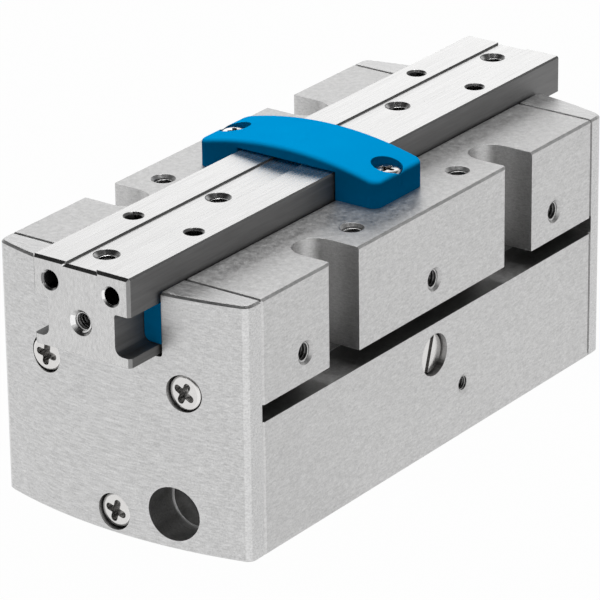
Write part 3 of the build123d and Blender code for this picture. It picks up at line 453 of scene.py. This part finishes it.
def makeScrewTree():
    tree, graph, given = newTree("pan_head_screw", [
        ("Direction", "NodeSocketVector", (0, 0, 1)),
        ("Head Radius", "NodeSocketFloat", 3.0 * mm),
        ("Head Height", "NodeSocketFloat", 2.9 * mm),
        ("Shank Radius", "NodeSocketFloat", 1.5 * mm),
        ("Shank Length", "NodeSocketFloat", 9.5 * mm),
        ("Cross Span", "NodeSocketFloat", 3.6 * mm),
        ("Cross Width", "NodeSocketFloat", 1.15 * mm),
        ("Cross Depth", "NodeSocketFloat", 1.6 * mm),
        ("Seed", "NodeSocketInt", 1),
        ("Material", "NodeSocketMaterial", None),
    ])
    cut = graph.add("GeometryNodeMeshBoolean", {"operation": "DIFFERENCE", "solver": "EXACT"}, {
        "Mesh 1": makeHead(graph, given), "Self Intersection": True})
    for solid in makeCross(graph, given):
        top = lifted(graph, solid, given["Head Height"] + headShape["cutAbove"] * mm)
        real = graph.add("GeometryNodeRealizeInstances", None, {"Geometry": top})
        graph.tree.links.new(real.outputs[0], cut.inputs["Mesh 2"])
    shank = graph.add("GeometryNodeMeshCylinder", None, {
        "Vertices": 32, "Radius": given["Shank Radius"], "Depth": given["Shank Length"]})
    screw = graph.add("GeometryNodeJoinGeometry")
    graph.tree.links.new(cut.outputs[0], screw.inputs[0])
    graph.tree.links.new(lifted(graph, shank.outputs["Mesh"], given["Shank Length"] * -0.5), screw.inputs[0])
    # each screw stops at its own turn
    chance = graph.add("FunctionNodeRandomValue", {"data_type": "FLOAT"}, {
        2: 0.0, 3: headShape["mostTurn"], "Seed": given["Seed"]})
    endTree(graph, standOn(graph, given, screw.outputs[0], graph.out(chance, 1)), given["Material"])
    return tree


def makeThreadTree():
    tree, graph, given = newTree("thread_turns", [
        ("Direction", "NodeSocketVector", (0, 0, 1)),
        ("Core Radius", "NodeSocketFloat", 1.65 * mm),
        ("Pitch", "NodeSocketFloat", 0.7 * mm),
        ("Turns", "NodeSocketFloat", 8.0),
        ("Ridge", "NodeSocketFloat", 0.2 * mm),
        ("Start", "NodeSocketFloat", 0.3 * mm),
        ("Material", "NodeSocketMaterial", None),
    ])
    spiral = graph.add("GeometryNodeCurveSpiral", None, {
        "Resolution": 30, "Rotations": given["Turns"], "Start Radius": given["Core Radius"],
        "End Radius": given["Core Radius"], "Height": given["Pitch"] * given["Turns"]})
    profile = graph.add("GeometryNodeCurvePrimitiveCircle", None, {"Resolution": 3, "Radius": given["Ridge"]})
    turned = graph.add("GeometryNodeTransform", None, {
        "Geometry": profile.outputs[0], "Rotation": (0.0, 0.0, math.pi)})
    swept = graph.add("GeometryNodeCurveToMesh", None, {
        "Curve": spiral.outputs[0], "Profile Curve": turned.outputs[0], "Fill Caps": True})
    sunk = lifted(graph, swept.outputs[0], -1.0 * (given["Pitch"] * given["Turns"]) - given["Start"])
    endTree(graph, standOn(graph, given, sunk, 0.0), given["Material"])
    return tree


def grow(name, tree, places, direction, settings, material):  # runs a tree on points and gives a plain mesh
    base = bpy.data.meshes.new(name)
    base.from_pydata([Vector(p) * mm for p in places], [], [])
    helper = bpy.data.objects.new(name + "_places", base)
    bpy.context.scene.collection.objects.link(helper)
    modifier = helper.modifiers.new("shape", "NODES")
    modifier.node_group = tree
    chosen = {"Direction": direction, "Material": material, **settings}
    for item in tree.interface.items_tree:
        if item.in_out == "INPUT" and item.name in chosen:
            modifier[item.identifier] = chosen[item.name]
    found = helper.evaluated_get(bpy.context.evaluated_depsgraph_get())
    mesh = bpy.data.meshes.new_from_object(found)
    helper.modifiers.remove(modifier)
    bpy.data.objects.remove(helper)
    return mesh


def asPiece(name, meshes, body, slotName, smoothAngle=32.0):  # joins meshes into one piece on a body
    joined = bpy.data.meshes.new(name)
    points, faces = [], []
    for mesh in meshes:
        first = len(points)
        points += [v.co.copy() for v in mesh.vertices]
        faces += [[first + i for i in p.vertices] for p in mesh.polygons]
    joined.from_pydata(points, [], faces)
    joined.shade_smooth()
    joined.set_sharp_from_angle(angle=math.radians(smoothAngle))
    joined.materials.append(finishOfSlot[slotName])
    piece = bpy.data.objects.new(name, joined)
    bpy.context.scene.collection.objects.link(piece)
    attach(piece, body)
    return piece


# the places are the seats under the heads, in the rear cover and in the bridge's pockets
coverScrews = {
    "places": [(52.6, 14.4, 28.8), (52.6, -14.4, 28.8), (53.3, 0.0, 4.0)],
    "Head Radius": 3.2, "Head Height": 3.2, "Shank Radius": 1.5, "Shank Length": 9.5,
    "Cross Span": 4.2, "Cross Width": 1.3, "Cross Depth": 1.8,
}
bridgeScrews = {
    "places": [(0.0, 16.1, 48.2), (0.0, -16.1, 48.2)],
    "Head Radius": 2.55, "Head Height": 2.5, "Shank Radius": 1.25, "Shank Length": 8.0,
    "Cross Span": 2.9, "Cross Width": 0.85, "Cross Depth": 1.1,
}
screwTree = makeScrewTree()


def screwSizes(look, seed):
    sizes = {key: value * mm for key, value in look.items() if isinstance(value, float)}
    sizes["Seed"] = seed
    return sizes


def addScrews(node, look, places, direction, seed):
    heads = grow(node, screwTree, places, direction, screwSizes(look, seed), nickelFinish)
    screws = asPiece(node + "_detail", [heads], "body", "nickel_steel")
    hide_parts(node)


for name, side, seed in (("front_cover_screws", -1, 3), ("rear_cover_screws", 1, 8)):
    places = [(side * x, -side * y, z) for x, y, z in coverScrews["places"]]
    addScrews(name, coverScrews, places, (side, 0, 0), seed)
addScrews("bridge_screws", bridgeScrews, bridgeScrews["places"], (0, 0, 1), 5)
print("screws made")

# threads: their sizes, and where the threaded holes open
threadTree = makeThreadTree()
threadSizes = {
    "m4": {"Core Radius": 1.66, "Pitch": 0.7, "Turns": 7.5, "Ridge": 0.22, "Start": 0.45},
    "m5": {"Core Radius": 2.11, "Pitch": 0.8, "Turns": 4.5, "Ridge": 0.25, "Start": 0.45},
    "m3": {"Core Radius": 1.26, "Pitch": 0.5, "Turns": 7.5, "Ridge": 0.16, "Start": 0.6},
}
mouths = {
    "topX": 15.9, "topY": 19.9, "topZ": 46.0, "sideX": 37.7, "sideY": 26.0, "sideZ": 32.5,
    "smallX": 9.25, "smallZ": 9.6, "portX": 46.0, "portY": 12.0, "portZ": 6.5,
    "jawOuterX": 56.9, "jawInnerX": 26.5, "jawTopZ": 50.45, "jawEndX": 64.0, "jawEndY": 0.05, "jawEndZ": 40.8,
}


def addThreads(name, body, slotName, rows):  # a row is a size, the way out of the hole and the mouths
    turns = []
    for size, direction, places in rows:
        sizes = {key: value * (1 if key == "Turns" else mm) for key, value in threadSizes[size].items()}
        turns.append(grow(name, threadTree, places, direction, sizes, finishOfSlot[slotName]))
    asPiece(name, turns, body, slotName, 20.0)


def inBothWays(size):
    return (-size, size)


addThreads("housing_threads", "body", "housing_aluminium", [
    ("m4", (0, 0, 1), [
        (x, y, mouths["topZ"]) for x in inBothWays(mouths["topX"]) for y in inBothWays(mouths["topY"])]),
    ("m4", (0, -1, 0), [
        (x, -mouths["sideY"], mouths["sideZ"]) for x in (-mouths["sideX"], 0.0, mouths["sideX"])]),
    ("m4", (0, 1, 0), [
        (x, mouths["sideY"], mouths["sideZ"]) for x in (-mouths["sideX"], 0.0, mouths["sideX"])]),
    ("m3", (0, -1, 0), [(mouths["smallX"], -mouths["sideY"], mouths["smallZ"])]),
    ("m5", (-1, 0, 0), [(-mouths["portX"], -mouths["portY"], mouths["portZ"])]),
    ("m5", (1, 0, 0), [(mouths["portX"], mouths["portY"], mouths["portZ"])]),
])
for body, side in (("front_jaw", -1), ("rear_jaw", 1)):
    addThreads(body + "_threads", body, "ground_steel", [
        ("m4", (0, 0, 1), [
            (side * mouths["jawOuterX"], 0.0, mouths["jawTopZ"]),
            (side * mouths["jawInnerX"], 0.0, mouths["jawTopZ"])]),
        ("m4", (side, 0, 0), [(side * mouths["jawEndX"], -side * mouths["jawEndY"], mouths["jawEndZ"])]),
    ])
print("threads made")

# vent plug: a thin plated head with a slot for a coin or blade
ventPlug = {
    "centreX": 0.0, "outerY": -26.0, "centreZ": 18.4, "recessDepth": 2.2,
    "headRadius": 3.7, "headThickness": 1.1, "headSides": 96, "rimBevel": 0.22,
    "slotWidth": 1.0, "slotDepth": 0.85, "slotLength": 12.0, "slotTurn": 17.0,
    "shankRadius": 2.1, "shankLength": 4.5, "shankSides": 48,
}


def cylinderAlongY(name, radius, nearY, farY, sides, bevel=0.0):
    rings = [(radius, farY), (radius, nearY + bevel)]
    if bevel:
        rings.append((radius - bevel, nearY))
    points, faces = [], []
    for ringRadius, y in rings:
        for i in range(sides):
            turn = 2 * math.pi * i / sides
            points.append(Vector((ringRadius * math.cos(turn), y, ringRadius * math.sin(turn))) * mm)
    for ring in range(len(rings) - 1):
        low, high = ring * sides, (ring + 1) * sides
        for i in range(sides):
            j = (i + 1) % sides
            faces.append((low + i, high + i, high + j, low + j))
    faces.append(tuple(range(sides)))
    faces.append(tuple(reversed(range(len(points) - sides, len(points)))))
    mesh = bpy.data.meshes.new(name)
    mesh.from_pydata(points, [], faces)
    mesh.transform(Matrix.Translation(Vector((ventPlug["centreX"], 0, ventPlug["centreZ"])) * mm))
    return mesh


def cutBy(mesh, cutterMesh):
    solid = bpy.data.objects.new("solid", mesh)
    cutter = bpy.data.objects.new("cutter", cutterMesh)
    for item in (solid, cutter):
        bpy.context.scene.collection.objects.link(item)
    modifier = solid.modifiers.new("cut", "BOOLEAN")
    modifier.operation = "DIFFERENCE"
    modifier.solver = "EXACT"
    modifier.object = cutter
    result = bpy.data.meshes.new_from_object(solid.evaluated_get(bpy.context.evaluated_depsgraph_get()))
    for item in (solid, cutter):
        bpy.data.objects.remove(item)
    return result


def blockMesh(name, size, turn, centre):
    x, y, z = (s / 2 * mm for s in size)
    corners = [(i, j, k) for i in (-x, x) for j in (-y, y) for k in (-z, z)]
    sides = [(0, 1, 3, 2), (4, 6, 7, 5), (0, 4, 5, 1), (2, 3, 7, 6), (0, 2, 6, 4), (1, 5, 7, 3)]
    mesh = bpy.data.meshes.new(name)
    mesh.from_pydata(corners, [], sides)
    mesh.transform(Matrix.Translation(Vector(centre) * mm) @ Matrix.Rotation(math.radians(turn), 4, "Y"))
    return mesh


headFloorY = ventPlug["outerY"] + ventPlug["recessDepth"]
headFaceY = headFloorY - ventPlug["headThickness"]
shankEndY = headFloorY + ventPlug["shankLength"]
plugHead = cylinderAlongY(
    "plug_head", ventPlug["headRadius"], headFaceY, headFloorY, ventPlug["headSides"], ventPlug["rimBevel"])
slotBlock = blockMesh(
    "plug_slot", (ventPlug["slotWidth"], 2 * ventPlug["slotDepth"], ventPlug["slotLength"]),
    ventPlug["slotTurn"], (ventPlug["centreX"], headFaceY, ventPlug["centreZ"]))
plugHead = cutBy(plugHead, slotBlock)
plugShank = cylinderAlongY(
    "plug_shank", ventPlug["shankRadius"], headFloorY, shankEndY, ventPlug["shankSides"])
plug = asPiece("vent_plug_detail", [plugHead, plugShank], "body", "nickel_steel")
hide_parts("vent_plug")
print("vent plug made")

# floor and surroundings: white to the camera, less light on dull pieces; the floor's sizes are in metres
studio = {
    "lightOnDiffuse": 0.13, "lightOnMetal": 1.0, "brightBelow": 0.385, "darkAbove": 0.62, "ceiling": 0.07,
    "floorWhite": 0.3, "floorGlow": 0.985, "floorReach": 6.0, "floorDrop": 0.0001,
    "paperScale": 220.0, "paperSpread": 0.01,
}


def mixShaders(graph, share, first, second):
    return graph.add("ShaderNodeMixShader", None, {0: share, 1: first.outputs[0], 2: second.outputs[0]})


floorMaterial, graph, place = newFinish("studio_floor")
path = graph.add("ShaderNodeLightPath")
seen = graph.out(path, "Is Camera Ray") + graph.out(path, "Is Glossy Ray")
seen = seen + graph.out(path, "Is Transmission Ray")
paper = noise(graph, place, studio["paperScale"])
white = grey(studio["floorWhite"])
offWhite = grey(studio["floorWhite"] - studio["paperSpread"])
matt = graph.add("ShaderNodeBsdfDiffuse", None, {"Color": graph.mixColour(paper, offWhite, white)})
glow = graph.add("ShaderNodeEmission", None, {"Color": grey(1.0), "Strength": 1.0})
blended = mixShaders(graph, seen.clipped() * studio["floorGlow"], matt, glow)
graph.add("ShaderNodeOutputMaterial", None, {"Surface": blended.outputs[0]})
reach = studio["floorReach"]
floorMesh = bpy.data.meshes.new("studio_floor")
floorCorners = [(x, y, -studio["floorDrop"]) for x, y in (
    (-reach, -reach), (reach, -reach), (reach, reach), (-reach, reach))]
floorMesh.from_pydata(floorCorners, [], [(0, 1, 2, 3)])
floorMesh.materials.append(floorMaterial)
floor = bpy.data.objects.new("studio_floor", floorMesh)
bpy.context.scene.collection.objects.link(floor)

world = bpy.data.worlds.new("studio")
bpy.context.scene.world = world
world.use_nodes = True
graph = Graph(world.node_tree)
path = graph.add("ShaderNodeLightPath")
seen = graph.out(path, "Is Camera Ray").above(graph.out(path, "Is Transmission Ray"))
upwards = graph.parts(graph.add("ShaderNodeTexCoord").outputs["Generated"])[2]
climb = ((upwards - studio["brightBelow"]) / (studio["darkAbove"] - studio["brightBelow"])).clipped()
sky = studio["lightOnMetal"] * (1.0 - climb) + studio["ceiling"] * climb
dull = graph.add("ShaderNodeBackground", None, {"Color": grey(1.0), "Strength": studio["lightOnDiffuse"]})
shiny = graph.add("ShaderNodeBackground", None, {"Color": grey(1.0), "Strength": sky})
bright = graph.add("ShaderNodeBackground", None, {"Color": grey(1.0), "Strength": 1.0})
forGloss = mixShaders(graph, graph.out(path, "Is Glossy Ray"), dull, shiny)
whole = mixShaders(graph, seen, forGloss, bright)
graph.add("ShaderNodeOutputWorld", None, {"Surface": whole.outputs[0]})

# lamps, in metres and watts
lamps = {
    "overhead": {"from": (0.10, 0.12, 0.85), "to": (0.0, 0.0, 0.02), "size": 0.5, "power": 5.0},
    "back": {"from": (0.62, 0.45, 0.30), "to": (0.03, 0.0, 0.04), "size": 0.35, "power": 0.22},
}
for name, lamp in lamps.items():
    light = bpy.data.lights.new(name, "AREA")
    light.shape = "SQUARE"
    light.size = lamp["size"]
    light.energy = lamp["power"]
    holder = bpy.data.objects.new(name, light)
    bpy.context.scene.collection.objects.link(holder)
    aim = Vector(lamp["to"]) - Vector(lamp["from"])
    turned = aim.to_track_quat("-Z", "Y").to_matrix().to_4x4()
    holder.matrix_world = Matrix.Translation(Vector(lamp["from"])) @ turned

# the photograph's view: the camera's axes and place in metres, lens and sensor in millimetres
view = {
    "right": (0.5855, -0.8106, -0.0110), "up": (0.3231, 0.2209, 0.9202), "back": (-0.7435, -0.5423, 0.3912),
    "eye": (-0.5781, -0.4191, 0.3260), "lens": 265.84, "sensor": 36.0, "nearest": 0.01, "farthest": 20.0,
}
cameraData = bpy.data.cameras.new("photo_view")
cameraData.lens = view["lens"]
cameraData.sensor_width = view["sensor"]
cameraData.sensor_height = view["sensor"]
cameraData.sensor_fit = "HORIZONTAL"
cameraData.clip_start = view["nearest"]
cameraData.clip_end = view["farthest"]
camera = bpy.data.objects.new("photo_view", cameraData)
bpy.context.scene.collection.objects.link(camera)
axes = Matrix((view["right"], view["up"], view["back"])).transposed()
camera.matrix_world = Matrix.Translation(Vector(view["eye"])) @ axes.to_4x4()
bpy.context.scene.camera = camera
bpy.context.scene.view_settings.view_transform = "Standard"
print("studio ready")
